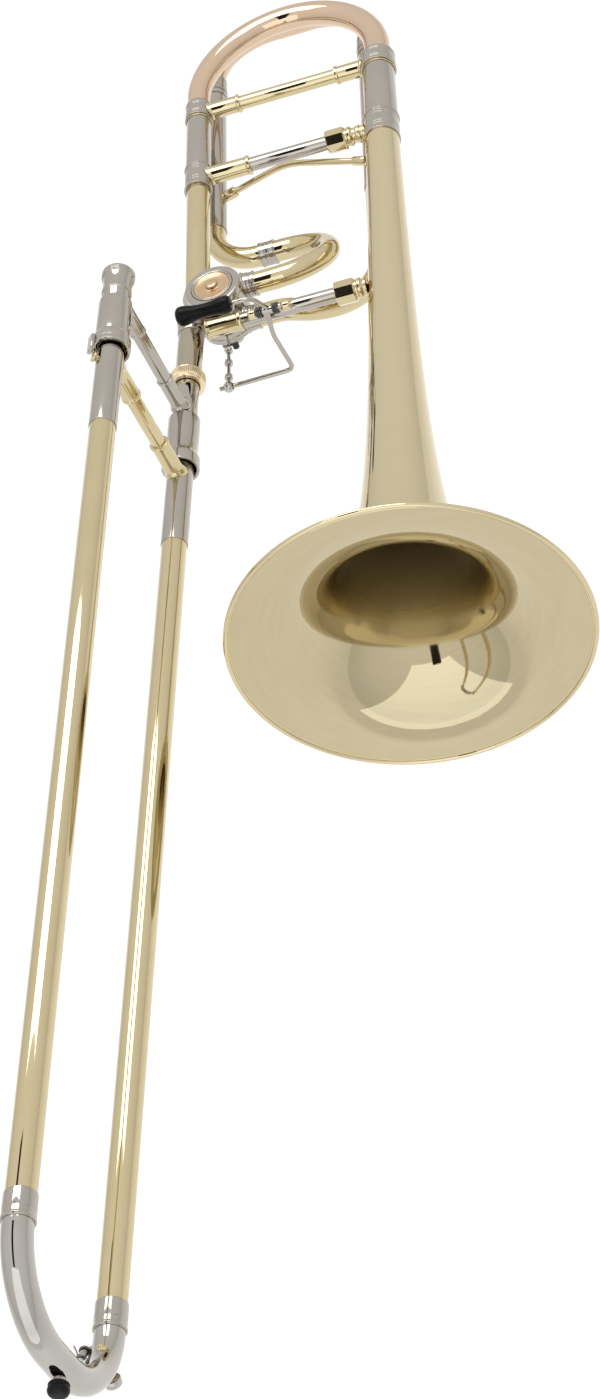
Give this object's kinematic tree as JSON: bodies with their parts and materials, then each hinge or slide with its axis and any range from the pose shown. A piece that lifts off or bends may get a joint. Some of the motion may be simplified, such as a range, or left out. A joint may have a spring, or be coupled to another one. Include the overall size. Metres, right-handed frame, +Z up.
{
  "type": "tenor trombone",
  "caption": "Tenor trombone with hand slide, flared bell, two tuning slides, and a rotary valve worked by a thumb lever.",
  "frame": {"origin": "centre of the mouthpiece receiver's mouth, on the upper slide tube's axis", "axes": "+Y back towards the player along the slide, +X towards the bell, +Z up; the hand slide moves out along -Y"},
  "size_m": [0.2821, 1.1617, 0.2339],
  "materials": {
    "lacquered_brass": "clear-lacquered bright yellow brass",
    "nickel_silver": "polished nickel silver",
    "rose_brass": "clear-lacquered rose brass",
    "satin_brass": "knurled brass, satin",
    "steel": "plated steel",
    "black_plastic": "black moulded plastic",
    "black_rubber": "black rubber",
    "cork": "cork"
  },
  "bodies": {
    "bell_section": {"bell": "lacquered_brass", "bell_rim_wire": "lacquered_brass", "bell_ferrule": "nickel_silver", "bell_outer_leg": "nickel_silver", "neckpipe": "lacquered_brass", "neck_ferrule": "nickel_silver", "neck_outer_leg": "nickel_silver", "bell_brace_tube": "nickel_silver", "bell_brace_flange": "lacquered_brass", "bell_brace_collar": "lacquered_brass", "valve_brace_tube": "nickel_silver", "valve_brace_flange": "lacquered_brass", "valve_brace_collar": "lacquered_brass", "support_brace": "lacquered_brass", "f_s_tube": "lacquered_brass", "f_u_tube": "lacquered_brass", "f_loop_tube": "lacquered_brass", "f_ferrules": "nickel_silver", "f_outer_legs": "nickel_silver", "valve_casing": "nickel_silver", "valve_cap": "rose_brass", "valve_back_plate": "nickel_silver", "stop_corks": "black_rubber", "receiver_tube": "nickel_silver", "lever_posts": "lacquered_brass", "lever_spring": "steel"},
    "main_tuning_slide": {"main_bow": "rose_brass", "main_bow_ferrules": "nickel_silver", "main_inner_legs": "nickel_silver", "tuning_brace": "lacquered_brass"},
    "f_tuning_slide": {"f_bow": "rose_brass", "f_bow_ferrules": "nickel_silver", "f_inner_legs": "nickel_silver"},
    "lever": {"thumb_lever": "nickel_silver", "thumb_paddle": "black_plastic"},
    "rotor": {"valve_rotor": "nickel_silver", "stop_arm": "steel"},
    "link": {"link_rod": "steel"},
    "receiver_nut": {"lock_nut": "satin_brass"},
    "inner_slide": {"slide_tenon": "nickel_silver", "cork_barrels": "nickel_silver", "barrel_corks": "black_rubber", "mouthpiece_receiver": "nickel_silver", "inner_brace": "nickel_silver", "inner_tubes": "nickel_silver"},
    "lock_ring": {"slide_lock": "nickel_silver"},
    "outer_slide": {"outer_sleeves": "nickel_silver", "outer_tubes": "lacquered_brass", "outer_brace": "lacquered_brass", "bow_ferrules": "nickel_silver", "slide_bow": "nickel_silver", "bumper_ring": "nickel_silver", "bumper": "black_rubber", "lock_stud": "lacquered_brass", "water_key_saddle": "nickel_silver"},
    "water_key": {"water_key_lever": "nickel_silver", "water_key_cork": "cork"}
  },
  "joints": [
    {"name": "main_slide_pull", "type": "slide", "parent": "bell_section", "child": "main_tuning_slide", "axis": [-0.0541, 0.9985, 0], "range_m": [0, 0.05]},
    {"name": "f_slide_pull", "type": "slide", "parent": "bell_section", "child": "f_tuning_slide", "axis": [-0.0541, 0.9985, 0], "range_m": [0, 0.09]},
    {"name": "thumb_lever_press", "type": "hinge", "parent": "bell_section", "child": "lever", "pos_m": [0.05879, 0.04305, -0.09289], "axis": [0.9971, 0.054, -0.0541], "range_deg": [0, 15.1], "stiffness_Nm_per_rad": 0.35, "springref_deg": -20.05},
    {"name": "valve_turn", "type": "hinge", "parent": "bell_section", "child": "rotor", "pos_m": [0.01959, 0.07698, -0.10689], "axis": [-0.054, -0.0029, -0.9985], "range_deg": [0, 90.05]},
    {"name": "link_swing", "type": "hinge", "parent": "rotor", "child": "link", "pos_m": [0.01186, 0.07018, -0.1385], "axis": [0.054, 0.0029, 0.9985], "range_deg": [0, 90.05]},
    {"name": "lock_nut_turn", "type": "hinge", "parent": "bell_section", "child": "receiver_nut", "pos_m": [0, 0.011, -0.106], "axis": [0, -1, 0], "range_deg": [0, 720]},
    {"name": "hand_slide_swivel", "type": "hinge", "parent": "bell_section", "child": "inner_slide", "pos_m": [0, 0, -0.106], "axis": [0, 1, 0], "range_deg": [-35, 35]},
    {"name": "slide_lock_turn", "type": "hinge", "parent": "inner_slide", "child": "lock_ring", "pos_m": [0, -0.064, 0], "axis": [0, 1, 0], "range_deg": [-30, 0]},
    {"name": "hand_slide", "type": "slide", "parent": "inner_slide", "child": "outer_slide", "axis": [0, -1, 0], "range_m": [0, 0.56]},
    {"name": "water_key_press", "type": "hinge", "parent": "outer_slide", "child": "water_key", "pos_m": [-0.0094, -0.69761, -0.09718], "axis": [0, 0.9135, -0.4067], "range_deg": [0, 22], "stiffness_Nm_per_rad": 0.05, "springref_deg": -28.65}
  ],
  "couplings": [
    {"joint": "valve_turn", "follows": "thumb_lever_press", "ratio": 5.9603},
    {"joint": "link_swing", "follows": "thumb_lever_press", "ratio": 5.9603}
  ]
}
